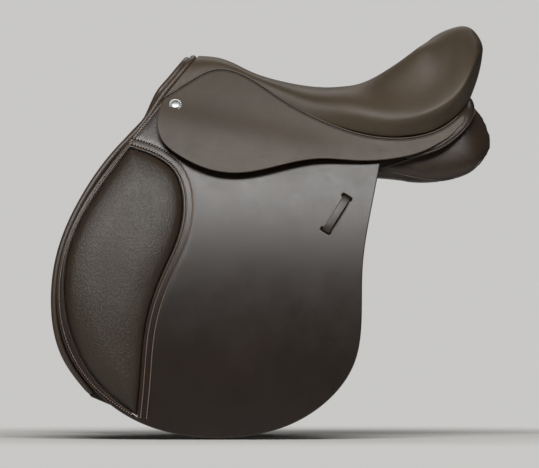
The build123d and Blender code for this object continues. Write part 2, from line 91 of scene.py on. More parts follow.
# Seat stations: crown (x, z), then shoulder, rim and welt (x, half width, z). The last one closes the cantle.
SEAT = [
    ((-262, 140), (-262, 38, 124), (-262, 60, 90), (-262, 69.5, 68)),
    ((-222, 141), (-222, 30, 131), (-222, 48, 108), (-222, 56.5, 92)),
    ((-190, 141), (-190, 22, 136), (-190, 37, 124), (-190, 43.5, 112)),
    ((-160, 137), (-160, 18, 134), (-160, 31, 128), (-160, 36.5, 121)),
    ((-120, 119), (-120, 26, 117), (-120, 42, 113), (-120, 47.5, 106)),
    ((-74, 104), (-74, 38, 101), (-74, 60, 90), (-74, 65.5, 78)),
    ((-20, 95), (-20, 50, 88), (-20, 80, 68), (-20, 85.5, 47)),
    ((30, 98), (30, 64, 86), (30, 97, 56), (30, 95.5, 29)),
    ((90, 124.5), (90, 78, 83), (90, 110, 43), (90, 101.5, 19)),
    ((116, 142), (116, 81, 88), (116, 113, 46), (116, 101.5, 20.5)),
    ((145, 168.5), (145, 82, 97), (145, 115, 54), (145, 100, 25.5)),
    ((178, 182), (178, 78, 112), (181, 107, 74), (174, 91.5, 40)),
    ((197, 186), (197, 66, 134), (203, 93, 101), (194, 82, 57)),
    ((211, 182), (211, 48, 151), (216, 69, 129), (204, 62, 70)),
    ((221, 171), (221, 28, 161), (224, 39, 146), (209, 36, 78)),
    ((227, 159), (227, 12, 157), (228, 15, 152), (210.5, 14, 80.5)),
    ((228.5, 151), (228.5, 1, 150.5), (228.5, 1.5, 150), (210.8, 1, 81)),
]

# Panel stations: x, then inner top, outer top, outer bottom and inner bottom (y, z).
PANEL = [
    (-222, (-46, 46), (-54, 42), (-80, -26), (-64, -20)),
    (-206, (-36, 54), (-56, 48), (-92, -38), (-58, -26)),
    (-120, (-27, 48), (-58, 42), (-101, -47), (-34, -4)),
    (-20, (-25, 32), (-68, 32), (-113, -52), (-29, -6)),
    (80, (-25, 38), (-92, 22), (-114, -54), (-29, -8)),
    (130, (-25, 46), (-88, 32), (-117, -64), (-28, -14)),
    (170, (-25, 60), (-80, 52), (-116, -62), (-28, -14)),
    (204, (-26, 74), (-68, 70), (-112, -51), (-31, -10)),
    (222, (-32, 64), (-58, 58), (-104, -35), (-36, -4)),
    (234, (-40, 46), (-52, 40), (-86, -17), (-45, 2)),
    (242, (-46, 25), (-52, 22), (-68, 1), (-52, 8)),
]


# ---- curves ----
def natural(points, samples):
    """A natural cubic spline through points of any dimension, and each point's place among its samples."""
    pts = np.array(points, float)
    chord = np.linalg.norm(np.diff(pts, axis=0), axis=1)
    t = np.concatenate([[0.0], np.cumsum(chord)])
    n = len(pts)
    matrix, right = np.eye(n), np.zeros_like(pts)
    for i in range(1, n - 1):
        matrix[i, i - 1 : i + 2] = (chord[i - 1], 2 * (chord[i - 1] + chord[i]), chord[i])
        right[i] = 6 * ((pts[i + 1] - pts[i]) / chord[i] - (pts[i] - pts[i - 1]) / chord[i - 1])
    bend = np.linalg.solve(matrix, right)
    fine = np.linspace(0, t[-1], samples)
    k = np.clip(np.searchsorted(t, fine, side="right") - 1, 0, n - 2)
    h = chord[k][:, None]
    a = ((t[k + 1] - fine) / chord[k])[:, None]
    b = 1 - a
    curved = (a**3 - a) * bend[k] + (b**3 - b) * bend[k + 1]
    knots = np.rint(t / t[-1] * (samples - 1)).astype(int)
    return a * pts[k] + b * pts[k + 1] + curved * h**2 / 6, knots


def spline(points, step):
    """A natural cubic spline through points of any dimension, as points about step apart."""
    return even(natural(points, 40 * len(points))[0], step)


def spread(line, count):
    """A line resampled to a number of equally spaced points."""
    lengths = np.concatenate([[0.0], np.cumsum(np.linalg.norm(np.diff(line, axis=0), axis=1))])
    at = np.linspace(0, lengths[-1], count)
    return np.stack([np.interp(at, lengths, line[:, c]) for c in range(line.shape[1])], axis=1)


def even(points, step):
    """The same line as points equally spaced along it, about step apart."""
    length = np.sum(np.linalg.norm(np.diff(points, axis=0), axis=1))
    return spread(points, max(2, int(round(length / step)) + 1))


def ring(step, *runs):
    """A closed anticlockwise loop made of splines, without its repeated joins."""
    loop = np.concatenate([spline(run, step)[:-1] for run in runs])
    following = np.roll(loop, -1, axis=0)
    area = np.sum(loop[:, 0] * following[:, 1] - following[:, 0] * loop[:, 1])
    return loop if area > 0 else loop[::-1]


def segments(loops):
    """The starts and ends of the sides of closed loops."""
    starts = np.concatenate(loops)
    ends = np.concatenate([np.roll(loop, -1, axis=0) for loop in loops])
    return starts, ends


def distance(points, starts, ends):
    """Distance of each point from the nearest segment."""
    result = np.full(len(points), 1e9)
    along = ends - starts
    size = np.maximum(np.sum(along**2, axis=1), 1e-12)
    for first in range(0, len(points), 500):
        p = points[first : first + 500, None, :]
        t = np.clip(np.sum((p - starts) * along, axis=2) / size, 0, 1)
        gap = np.linalg.norm(p - starts - t[:, :, None] * along, axis=2)
        result[first : first + 500] = gap.min(axis=1)
    return result


def inside(points, loops):
    """Whether each point is inside the first loop and outside the others."""
    starts, ends = segments(loops)
    x, z = points[:, 0][:, None], points[:, 1][:, None]
    crosses = (starts[:, 1] > z) != (ends[:, 1] > z)
    rise = np.where(ends[:, 1] == starts[:, 1], 1e-9, ends[:, 1] - starts[:, 1])
    at = starts[:, 0] + (z - starts[:, 1]) * (ends[:, 0] - starts[:, 0]) / rise
    return np.sum(crosses & (x < at), axis=1) % 2 == 1


def normals_2d(loop, closed=True):
    """Left hand normals of a line, averaged at each point."""
    if closed:
        tangent = np.roll(loop, -1, axis=0) - np.roll(loop, 1, axis=0)
    else:
        tangent = np.gradient(loop, axis=0)
    tangent /= np.maximum(np.linalg.norm(tangent, axis=1), 1e-9)[:, None]
    return np.stack([-tangent[:, 1], tangent[:, 0]], axis=1)


def beside(line, amount, closed=False):
    """A line moved sideways to its left."""
    return line + normals_2d(line, closed) * amount


def unit(rows):
    """Rows scaled to length 1."""
    return rows / np.maximum(np.linalg.norm(rows, axis=1), 1e-12)[:, None]


def ease(value, low, high):
    """A smooth step from 0 to 1."""
    t = min(max((value - low) / (high - low), 0.0), 1.0)
    return t * t * (3 - 2 * t)


# ---- meshes ----
def make_object(name, verts, faces, materials, face_material=None):
    """A smooth shaded mesh object, with one material for each face if a list of their numbers is given."""
    mesh = bpy.data.meshes.new(name)
    mesh.from_pydata([tuple(v) for v in verts], [], faces)
    for material in materials:
        mesh.materials.append(material)
    if face_material is not None:
        mesh.polygons.foreach_set("material_index", np.array(face_material, np.int32))
    mesh.polygons.foreach_set("use_smooth", [True] * len(mesh.polygons))
    mesh.update()
    obj = bpy.data.objects.new(name, mesh)
    bpy.context.scene.collection.objects.link(obj)
    return obj


def mirrored(obj, name):
    """The far side's copy of a near side piece."""
    mesh = obj.data.copy()
    co = np.zeros(len(mesh.vertices) * 3)
    mesh.vertices.foreach_get("co", co)
    co[1::3] *= -1
    mesh.vertices.foreach_set("co", co)
    mesh.flip_normals()
    mesh.update()
    copy = bpy.data.objects.new(name, mesh)
    bpy.context.scene.collection.objects.link(copy)
    return copy


def set_attribute(obj, name, values):
    """Gives the mesh one number at each vertex."""
    attribute = obj.data.attributes.new(name, "FLOAT", "POINT")
    attribute.data.foreach_set("value", np.array(values, np.float32))


def on_barrel(points, radius):
    """Side view points, in mm, placed on the near side of the barrel at that radius, in metres."""
    x, z = points[:, 0], points[:, 1]
    y = BARREL_Y - np.sqrt(radius**2 - (z - BARREL_Z) ** 2)
    return np.stack([x, y, z], axis=1) * MM


def barrel_normal(z, radius):
    """Outward unit normal of the near side of the barrel at height z."""
    up = (z - BARREL_Z) / radius
    return np.stack([np.zeros_like(up), -np.sqrt(1 - up**2), up], axis=-1)


def circle(count):
    """Cosine and sine at equally spaced angles."""
    angles = [2 * math.pi * k / count for k in range(count)]
    return [(math.cos(angle), math.sin(angle)) for angle in angles]


def fan_faces(count):
    """Triangles from vertex 0 to the ring of vertices after it."""
    return [(0, 1 + k, 1 + (k + 1) % count) for k in range(count)]


def grid_faces(rows, width, closed=False, first=0):
    """Quads between neighbouring rows of vertices."""
    faces = []
    for i in range(rows - 1):
        for k in range(width if closed else width - 1):
            a, b = first + i * width + k, first + i * width + (k + 1) % width
            faces.append((a, b, b + width, a + width))
    return faces


def end_caps(rows, width):
    """Faces that close the first and the last row of a closed grid."""
    return [tuple(range(width))[::-1], tuple(range((rows - 1) * width, rows * width))]


def modify(obj, kind, **settings):
    """Adds a modifier with its settings."""
    made = obj.modifiers.new(kind.lower(), kind)
    for key, value in settings.items():
        setattr(made, key, value)


def apply_modifiers(obj):
    """Replaces the object's mesh with what its modifiers make of it."""
    depsgraph = bpy.context.evaluated_depsgraph_get()
    mesh = bpy.data.meshes.new_from_object(obj.evaluated_get(depsgraph))
    obj.modifiers.clear()
    obj.data = mesh
    return obj


def nearest(points, others):
    """How far each side view point is from the nearest of the others."""
    tree = KDTree(len(others))
    for i, p in enumerate(others):
        tree.insert((p[0], p[1], 0), i)
    tree.balance()
    return np.array([tree.find((p[0], p[1], 0))[2] for p in points])


EDGE_RINGS = (0.25, 0.7, 1.4, 2.4, 4.0)  # depths inside an outline that a rounded edge needs


def tile(loops, spacing, lines=(), line_offsets=(0.0,), rings=EDGE_RINGS):
    """Triangles over a side view region: its loops, rings just inside them, lines, and a field of points."""
    starts, ends = segments(loops)
    fixed = np.concatenate(loops)
    extra = [beside(loop, amount, True) for loop in loops[:1] for amount in rings]
    extra += [beside(loop[::-1], amount, True) for loop in loops[1:] for amount in rings]
    depth = np.concatenate([np.full(len(e), rings[i % len(rings)]) for i, e in enumerate(extra)])
    extra = np.concatenate(extra)
    near = distance(extra, starts, ends)
    extra = extra[(near > 0.85 * depth) & inside(extra, loops)]
    tracks = [beside(line, offset) for line in lines for offset in line_offsets]
    if tracks:
        track = np.concatenate(tracks)
        track = track[(distance(track, starts, ends) > 1.2) & inside(track, loops)]
        extra = np.concatenate([extra[nearest(extra, track) > 0.5], track])
    low, high = fixed.min(axis=0), fixed.max(axis=0)
    field = []
    for k, z in enumerate(np.arange(low[1], high[1], spacing * 0.87)):
        xs = np.arange(low[0] + (k % 2) * spacing / 2, high[0], spacing)
        field.append(np.stack([xs, np.full(len(xs), z)], axis=1))
    field = np.concatenate(field)
    field = field[inside(field, loops)]
    field = field[distance(field, starts, ends) > max(rings) + 0.4 * spacing]
    field = field[nearest(field, extra) > 0.6 * spacing]
    points = np.concatenate([fixed, extra, field])
    edges, rims, first = [], [], 0
    for loop in loops:
        rim = range(first, first + len(loop))
        edges += zip(rim, [*rim[1:], first])
        rims.append(rim)
        first += len(loop)
    verts, _, faces, origin, _, _ = delaunay_2d_cdt([Vector(p) for p in points], edges, [], 0, 1e-5)
    flat = np.array([(v.x, v.y) for v in verts])
    where = {old: new for new, olds in enumerate(origin) for old in olds}
    triangles = np.array([f for f in faces if len(f) == 3])
    triangles = triangles[inside(flat[triangles].mean(axis=1), loops)]
    a, b, c = [flat[triangles[:, corner]] for corner in range(3)]
    cross = np.cross(b - a, c - a)
    triangles[cross < 0] = triangles[cross < 0][:, ::-1]
    triangles = triangles[np.abs(cross) > 1e-6]
    bounds = [[where[i] for i in rim] for rim in rims]
    return flat, triangles, bounds, distance(flat, starts, ends)


def rounding(depth, radius):
    """How far a rounded edge has fallen at that depth inside its outline."""
    inward = np.clip(radius - depth, 0, radius)
    return radius - np.sqrt(radius**2 - inward**2)


def sheet_solid(name, tiled, outer, inner, materials, edge=1.4):
    """A leather sheet between two radii, which may vary from point to point, with rounded edges."""
    flat, triangles, bounds, depth = tiled
    count = len(flat)
    over = on_barrel(flat, outer - rounding(depth, edge))
    under = on_barrel(flat, inner + rounding(depth, edge))
    faces = [tuple(t) for t in triangles] + [tuple(i + count for i in t[::-1]) for t in triangles]
    rim = depth < 0.6
    # Faces at the rim take the second material, for most sheets the cut edge, whose light tone is partly
    # painted highlight.
    kinds = [int(rim[t].sum() >= 2) for t in triangles] * 2
    for bound in bounds:
        for a, b in zip(bound, bound[1:] + bound[:1]):
            faces.append((a, a + count, b + count, b))
            kinds.append(1)
    faces = [tuple(int(i) for i in face) for face in faces]
    return make_object(name, np.concatenate([over, under]), faces, materials, kinds)


def tube(path, radii, sides):
    """Vertices and faces of a closed tube along 3-D points in metres, with a radius in mm for each point."""
    tangents = unit(np.gradient(path, axis=0))
    side = np.cross(tangents[0], (0, 0, 1))
    verts = []
    for point, radius, tangent in zip(path, radii * MM, tangents):
        side = side - tangent * np.dot(side, tangent)
        side /= np.linalg.norm(side)
        up = np.cross(side, tangent)
        verts += [point + radius * (c * side + s * up) for c, s in circle(sides)]
    return verts, grid_faces(len(path), sides, True) + end_caps(len(path), sides)


def rounded_ends(count, radius, steps=4):
    """Tube radii in mm that close both ends in a half round."""
    values = np.full(count, float(radius))
    for i in range(min(steps, count // 2)):
        share = math.sqrt(1 - (1 - (i + 0.35) / steps) ** 2)
        values[i] = values[count - 1 - i] = radius * share
    return values


def merged(parts):
    """Several (vertices, faces) joined into one."""
    verts, faces = [], []
    for part_verts, part_faces in parts:
        base = len(verts)
        verts += list(part_verts)
        faces += [tuple(i + base for i in face) for face in part_faces]
    return verts, faces


# ---- stitching ----
STITCH_PITCH = 4.8
THREAD_LENGTH = 2.4
THREAD_RADIUS = 0.75
THREAD_SIDES = 6
# The dark cone at each stitch hole is painted shade of the hole.
HOLE_SHADE_RADIUS = 1.35
HOLE_SHADE_SIDES = 8
HOLE_SHADE_HEIGHT = 0.25  # above the leather beside its groove

# Stations of a thread: place along it, size and lift, as shares of its length and radius
THREAD_STATIONS = [(-0.5, 0.35, -0.55), (-0.42, 0.8, -0.15), (0.0, 1.0, 0.15)]
THREAD_STATIONS += [(0.42, 0.8, -0.15), (0.5, 0.35, -0.55)]


def one_thread():
    """A short thread along local x, bowed up in the middle."""
    verts = []
    for x, size, lift in THREAD_STATIONS:
        for c, s in circle(THREAD_SIDES):
            verts.append((x * THREAD_LENGTH, THREAD_RADIUS * size * c, THREAD_RADIUS * (size * s + lift)))
    rows = len(THREAD_STATIONS)
    return np.array(verts), grid_faces(rows, THREAD_SIDES, True) + end_caps(rows, THREAD_SIDES)


def one_hole_shade():
    """A shallow near black cone between two threads: painted shade of the hole."""
    rim = [(HOLE_SHADE_RADIUS * c, HOLE_SHADE_RADIUS * s, HOLE_SHADE_HEIGHT) for c, s in circle(HOLE_SHADE_SIDES)]
    return np.array([(0, 0, HOLE_SHADE_HEIGHT + 0.05), *rim]), fan_faces(HOLE_SHADE_SIDES)


def stitching(name, rows, materials):
    """Threads along rows, with a dark cone of painted shade for the hole between each two. Each row is
    (points, normals) on a surface, in metres.
    """
    shapes = (one_thread(), one_hole_shade())
    verts, faces, kinds = [], [], []
    count = 0
    for points, normals in rows:
        both = even(np.concatenate([points, normals], axis=1), STITCH_PITCH * MM)
        place, normal = both[:, :3], unit(both[:, 3:])
        tangent = unit(np.gradient(place, axis=0))
        across = unit(np.cross(normal, tangent))
        for i in range(len(place)):
            axes = np.stack([tangent[i], across[i], normal[i]])
            for kind, (shape, shape_faces) in enumerate(shapes):
                at = place[i] + tangent[i] * STITCH_PITCH * 0.5 * kind * MM
                verts.append(at + shape @ axes * MM)
                faces += [tuple(v + count for v in face) for face in shape_faces]
                kinds += [kind] * len(shape_faces)
                count += len(shape)
    return make_object(name, np.concatenate(verts), faces, materials, kinds)


def barrel_row(line, radius):
    """A stitch row along a side view line, with the barrel's radius at each of its points."""
    return on_barrel(line, radius), barrel_normal(line[:, 1], radius)


# ---- materials ----
def linear(colour, share=1.0):
    """Linear colour from a share of 0 to 255 sRGB values."""
    parts = [c * share / 255 for c in colour]
    return (*[c / 12.92 if c <= 0.04045 else ((c + 0.055) / 1.055) ** 2.4 for c in parts], 1.0)


class Nodes:
    """Short names for building the node tree of a new material, or of the world."""

    def __init__(self, name, kind="materials"):
        self.owner = getattr(bpy.data, kind).new(name)
        self.owner.use_nodes = True
        self.tree = self.owner.node_tree
        self.shader = self.tree.nodes.get("Principled BSDF")
        self.coords = self.node("TexCoord").outputs["Object"]

    def node(self, kind, inputs=None, **settings):
        made = self.tree.nodes.new("ShaderNode" + kind)
        for key, value in settings.items():
            setattr(made, key, value)
        for key, value in (inputs or {}).items():
            self.put(made.inputs[key], value)
        return made

    def put(self, socket, value):
        if isinstance(value, bpy.types.NodeSocket):
            self.tree.links.new(value, socket)
        else:
            socket.default_value = value

    def noise(self, scale, detail=4.0, rough=0.55, stretch=None):
        coords = self.coords
        if stretch:
            coords = self.node("Mapping", {"Vector": coords, "Scale": stretch}).outputs[0]
        inputs = {"Vector": coords, "Scale": scale, "Detail": detail, "Roughness": rough}
        return self.node("TexNoise", inputs).outputs["Fac"]

    def ramp(self, value, low, high, to_low=0.0, to_high=1.0):
        inputs = {"Value": value, "From Min": low, "From Max": high, "To Min": to_low, "To Max": to_high}
        return self.node("MapRange", inputs).outputs[0]

    def mix(self, factor, first, second):
        return self.node("Mix", {"Factor": factor, 6: first, 7: second}, data_type="RGBA").outputs[2]

    def math(self, operation, first, second):
        return self.node("Math", {0: first, 1: second}, operation=operation).outputs[0]

    def bump(self, height, strength, distance_mm, below=None):
        inputs = {"Height": height, "Strength": strength, "Distance": distance_mm * MM}
        if below:
            inputs["Normal"] = below
        return self.node("Bump", inputs).outputs[0]

    def finish(self, colour, roughness, normal=None, **uniform):
        self.put(self.shader.inputs["Base Color"], colour)
        self.put(self.shader.inputs["Roughness"], roughness)
        if normal:
            self.put(self.shader.inputs["Normal"], normal)
        for key, value in uniform.items():
            self.shader.inputs[key.replace("_", " ")].default_value = value
        return self.owner


def leather(name, colour, dark, rough, grain, depth=0.12, strength=0.4, pebble=0.0, shine=0.5):
    """Finished leather: mottled tone, pores and creases at the grain's size in mm, and painted shade
    darkening the stitch grooves.
    """
    n = Nodes(name)
    broad = n.ramp(n.noise(7.0, 3.0), 0.35, 0.65)
    fine = n.ramp(n.noise(120.0, 5.0, 0.65), 0.3, 0.7)
    base = n.mix(broad, linear(dark), linear(colour))
    base = n.mix(n.math("MULTIPLY", fine, 0.22), base, linear(dark, 0.72))
    inputs = {"Vector": n.coords, "Scale": 350.0 / grain, "Detail": 2.0}
    wobble = n.node("TexNoise", inputs).outputs["Color"]
    warped = n.node("VectorMath", operation="MULTIPLY_ADD")
    for socket, value in zip(warped.inputs, (wobble, (0.9 * grain * MM,) * 3, n.coords)):
        n.put(socket, value)
    inputs = {"Vector": warped.outputs[0], "Scale": 1000.0 / grain}
    cells = n.node("TexVoronoi", inputs, feature="DISTANCE_TO_EDGE").outputs["Distance"]
    creases = n.ramp(cells, 0.0, 0.16)
    pores = n.noise(2600.0 / grain, 2.0, 0.6)
    height = n.math("ADD", n.math("MULTIPLY", creases, 0.75), n.math("MULTIPLY", pores, 0.5))
    normal = n.bump(height, strength, depth)
    if pebble:
        normal = n.bump(n.noise(330.0, 2.0, 0.5, (1.0, 0.6, 0.8)), pebble, 0.9, normal)
    base = n.mix(n.ramp(creases, 0.0, 1.0, 0.35, 0.0), base, linear(dark, 0.5))
    # Painted shade in the stitch grooves: the seam attribute darkens the leather along the rows.
    seam = n.node("Attribute", attribute_name="seam").outputs["Fac"]
    base = n.mix(n.math("MULTIPLY", seam, 0.6), base, linear(dark, 0.35))
    wet = n.ramp(n.noise(26.0, 4.0, 0.6), 0.3, 0.7, rough - 0.02, rough + 0.03)
    wet = n.math("ADD", wet, n.math("MULTIPLY", fine, 0.04))
    return n.finish(base, wet, normal, Specular_IOR_Level=shine)


def cut_edge(name, colour, dark, shine=0.5):
    """The dyed and burnished cut edge of leather, with its fibres along the edge. Light, it also paints the
    highlight along thin edges; near black and matte, it paints the shade in stitch holes.
    """
    n = Nodes(name)
    fibres = n.noise(900.0, 4.0, 0.7, (0.4, 0.4, 0.4))
    base = n.mix(n.ramp(fibres, 0.35, 0.65), linear(dark), linear(colour))
    rough = n.ramp(fibres, 0.3, 0.7, 0.36, 0.5)
    return n.finish(base, rough, n.bump(fibres, 0.4, 0.2), Specular_IOR_Level=shine)


def thread(name, colour, dark):
    """Twisted linen thread."""
    n = Nodes(name)
    inputs = {"Vector": n.coords, "Scale": 700.0, "Distortion": 1.5}
    strand = n.node("TexWave", inputs, bands_direction="DIAGONAL").outputs["Fac"]
    base = n.mix(strand, linear(dark), linear(colour))
    return n.finish(base, n.ramp(strand, 0, 1, 0.6, 0.75), n.bump(strand, 0.5, 0.1), Sheen_Weight=0.2)


def metal(name, colour, dark, rough):
    """Metal with a brushed finish."""
    n = Nodes(name)
    broad = n.noise(40.0, 4.0)
    brushed = n.noise(420.0, 5.0, 0.7, (1.0, 1.0, 12.0))
    base = n.mix(n.ramp(broad, 0.35, 0.65), linear(dark), linear(colour))
    worn = n.ramp(broad, 0.3, 0.7, rough - 0.05, rough + 0.07)
    worn = n.math("ADD", worn, n.math("MULTIPLY", brushed, 0.08))
    return n.finish(base, worn, n.bump(brushed, 0.2, 0.08), Metallic=1.0)


def wood(name):
    """Beech laminate: thin plies, with grain along the tree."""
    n = Nodes(name)
    plies = n.node("TexWave", {"Vector": n.coords, "Scale": 95.0, "Distortion": 0.6}, bands_direction="Z")
    grain = n.noise(160.0, 6.0, 0.6, (0.08, 1.0, 1.0))
    base = n.mix(n.ramp(grain, 0.3, 0.7), linear((150, 108, 68)), linear((196, 156, 108)))
    base = n.mix(n.math("MULTIPLY", plies.outputs["Fac"], 0.3), base, linear((112, 76, 46)))
    return n.finish(base, n.ramp(grain, 0.3, 0.7, 0.45, 0.6), n.bump(grain, 0.35, 0.3), Coat_Weight=0.2)


def woven(name, colour, dark):
    """Plain woven webbing."""
    n = Nodes(name)
    inputs = {"Vector": n.coords, "Scale": 312.5}
    bands = [n.node("TexWave", inputs, bands_direction=way).outputs["Fac"] for way in "XY"]
    weave = n.math("MULTIPLY", *bands)
    fuzz = n.noise(900.0, 4.0)
    base = n.mix(weave, linear(dark), linear(colour))
    base = n.mix(n.math("MULTIPLY", fuzz, 0.3), base, linear(dark))
    return n.finish(base, n.ramp(fuzz, 0.3, 0.7, 0.75, 0.9), n.bump(weave, 0.7, 0.5), Sheen_Weight=0.3)


# Leathers: name, colour, dark tone, roughness and grain
SEAT_LEATHER = leather("seat_leather", (79, 66, 50), (69, 57, 43), 0.46, 1.3, shine=0.42)
FLAP_LEATHER = leather("flap_leather", (46, 36, 30), (39, 30, 25), 0.31, 1.1, depth=0.08, strength=0.3)
SKIRT_LEATHER = leather("skirt_leather", (77, 64, 50), (67, 55, 43), 0.48, 1.1, depth=0.1, strength=0.3)
PAD_SETTINGS = {"depth": 0.3, "strength": 0.5, "pebble": 0.5}
PAD_LEATHER = leather("grained_leather", (60, 49, 37), (51, 41, 31), 0.38, 2.2, **PAD_SETTINGS)
PANEL_LEATHER = leather("panel_leather", (60, 48, 38), (50, 40, 32), 0.34, 1.3)
STRAP_LEATHER = leather("strap_leather", (60, 48, 39), (48, 38, 31), 0.34, 1.0)
PIPING_LEATHER = leather("piping_leather", (78, 64, 52), (66, 54, 45), 0.34, 0.9, depth=0.1, strength=0.5)
# The cut edge: its own lighter tan, raised further to paint the highlight along the thin edges.
EDGE_TONE_AND_HIGHLIGHT = cut_edge("cut_edge", (104, 86, 70), (76, 62, 50))
THREAD = thread("linen_thread", (196, 170, 148), (150, 122, 104))
# Near black and without gloss: painted shade in the stitch holes.
HOLE_SHADE = cut_edge("stitch_hole_shade", (16, 11, 9), (8, 5, 4), shine=0.0)
NICKEL = metal("nickel", (176, 177, 175), (140, 142, 142), 0.34)
STEEL = metal("steel", (120, 120, 118), (84, 84, 84), 0.4)


# ---- bodies ----
ROOT = "tree_and_seat"
SIDES = {"near": 1, "far": -1}  # each side, and the sign of its y against the near side's

# Unit vectors (y, z) down the near side at the flap's hinge and at the skirt's fold
DOWN_AT_HINGE = (-0.405, -0.914)
DOWN_AT_FOLD = (-0.486, -math.sqrt(1 - 0.486**2))

# Reach before and after the flap's hinge line and the skirt's fold line, in metres, handed to bend
HINGE_REACH = (0.015, 0.015)
FOLD_REACH = (0.010, 0.014)


def dress(piece, nodes=()):
    """Puts a piece on the main body and the CAD nodes that it replaces."""
    if nodes:
        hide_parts(*nodes)
    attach(piece, ROOT)


def both_sides(near_piece, base, nodes, move):
    """Makes the far piece from the near one, hides the CAD nodes that both replace, and hands each to move.
    """
    near_piece.name = f"near_{base}"
    for side, piece in zip(SIDES, (near_piece, mirrored(near_piece, f"far_{base}"))):
        if nodes:
            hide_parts(*[f"{side}_{node}" for node in nodes])
        move(piece, side)


def on_root(piece, side):
    """Rides the piece on the saddle's main body."""
    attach(piece, ROOT)


def on_flap(piece, side):
    """Rides the piece on its side's flap."""
    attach(piece, f"{side}_flap_body")


def bend(piece, body, side, at, radius, down, reach, along=(1, 0, 0)):
    """Bakes the piece's transform into its mesh. It works out a direction down from the line but neither
    bends the piece nor puts it on another body.
    """
    mirror = SIDES[side]
    down = Vector((0.0, mirror * down[0], down[1]))
    along = Vector(along).normalized()
    down = (down - along * down.dot(along)).normalized()
    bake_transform(piece)


def flap_bend(piece, side):
    """Hands a piece to bend with the flap's hinge line; the piece is not bent."""
    at = (-160.0, FLAP_HINGE_Z)
    bend(piece, f"{side}_flap_body", side, at, FLAP[1], DOWN_AT_HINGE, HINGE_REACH)


def skirt_bend(piece, side):
    """Hands a piece to bend with the skirt's fold line; the piece is not bent."""
    (xa, za), (xb, zb) = SKIRT_FOLD
    at, along = ((xa + xb) / 2, (za + zb) / 2), (xb - xa, 0, zb - za)
    bend(piece, f"{side}_lobe_body", side, at, SKIRT[1] + LOBE_RISE, DOWN_AT_FOLD, FOLD_REACH, along)


# ---- flap ----
def turned_rectangle(centre, length, width, degrees, step):
    """A rounded side view rectangle as a closed loop."""
    c, s = math.cos(math.radians(degrees)), math.sin(math.radians(degrees))
    radius = min(width, length) * 0.3
    corners = []
    for sx, sy, first in ((1, -1, -90), (1, 1, 0), (-1, 1, 90), (-1, -1, 180)):
        cx, cy = sx * (length / 2 - radius), sy * (width / 2 - radius)
        for turn in range(0, 91, 30):
            angle = math.radians(first + turn)
            corners.append((cx + radius * math.cos(angle), cy + radius * math.sin(angle)))
    corners.append(corners[0])
    loop = even(np.array(corners), step)[:-1]
    return np.array(centre) + loop @ np.array([(c, s), (-s, c)])


def keeper_end(sign):
    """The middle of the slot at one end of the keeper."""
    reach = sign * KEEPER_LENGTH / 2
    turn = math.radians(KEEPER_TURN)
    return KEEPER_CENTRE[0] + reach * math.cos(turn), KEEPER_CENTRE[1] + reach * math.sin(turn)


flap_loop = ring(3.0, [*FLAP_FRONT, *FLAP_BOTTOM, *FLAP_BACK], FLAP_TOP)
pad_loop = ring(2.5, PAD_FRONT, [*PAD_BACK, *PAD_TOP[1:]])
bar_window = turned_rectangle((-185, 24), 114, 52, 0, 3.0)  # the opening over the stirrup bar
keeper_slots = [turned_rectangle(keeper_end(sign), 16, 5.0, KEEPER_TURN + 90, 1.0) for sign in (-1, 1)]

PAD_ROWS = (5.0, 14.0)  # stitch rows, from the edge of the knee pad
FRONT_ROW = 4.0  # stitch row, from the front edge of the flap
GROOVE = (-1.3, -0.6, 0.0, 0.6, 1.3)  # lines of vertices across a stitch row
GROOVE_DEPTH, GROOVE_WIDTH = 0.45, 2.0
FLAP_WAVES = (0.15, 80.0)  # height and length
LIP_HEIGHT, LIP_AT, LIP_WIDTH = 1.1, 2.2, 2.6  # the raised lip round the knee pad


def clipped(line, loops, clear):
    """The longest run of a line that stays inside loops, and at least clear from them."""
    starts, ends = segments(loops)
    good = inside(line, loops) & (distance(line, starts, ends) > clear)
    best, run = (0, 0), None
    for i, ok in enumerate([*good, False]):
        if ok and run is None:
            run = i
        if not ok and run is not None:
            if i - run > best[1] - best[0]:
                best = (run, i)
            run = None
    return line[best[0] : best[1]]


def stitch_rows():
    """Side view stitch rows round the knee pad and down the flap's front edge."""
    region = [flap_loop, pad_loop]
    rear = spline([*PAD_BACK, *PAD_TOP[1:]], 2.0)
    rows = [clipped(beside(rear, -amount), region, 2.5) for amount in PAD_ROWS]
    front = spline(FLAP_FRONT + FLAP_BOTTOM[:2], 2.0)
    return [*rows, clipped(beside(front, FRONT_ROW), region, 2.0)]


flap_rows = stitch_rows()
flap_tile = tile([flap_loop, pad_loop, bar_window, *keeper_slots], 6.5, flap_rows, GROOVE)


def waves(flat, height, length, phase=0.0):
    """Slow deterministic undulation of a sheet, in mm."""
    x, z = flat[:, 0] / length, flat[:, 1] / length
    return height * (np.sin(1.7 * x + 0.9 * z + phase) * np.cos(1.1 * z - 0.6 * x + 1.3 * phase))


def groove_shade_mask(flat):
    """Painted shade of the stitch grooves: 1 on the flap's stitch rows, falling to 0 beside them."""
    starts = np.concatenate([row[:-1] for row in flap_rows])
    ends = np.concatenate([row[1:] for row in flap_rows])
    return np.clip(1 - distance(flat, starts, ends) / GROOVE_WIDTH, 0, 1)


def flap_surface(flat):
    """The flap's outer radius at side view points, with its lip round the knee pad and without grooves."""
    gap = distance(flat, *segments([pad_loop]))
    lip = LIP_HEIGHT * np.exp(-((gap - LIP_AT) / LIP_WIDTH) ** 2)
    return FLAP[1] + waves(flat, *FLAP_WAVES) + lip


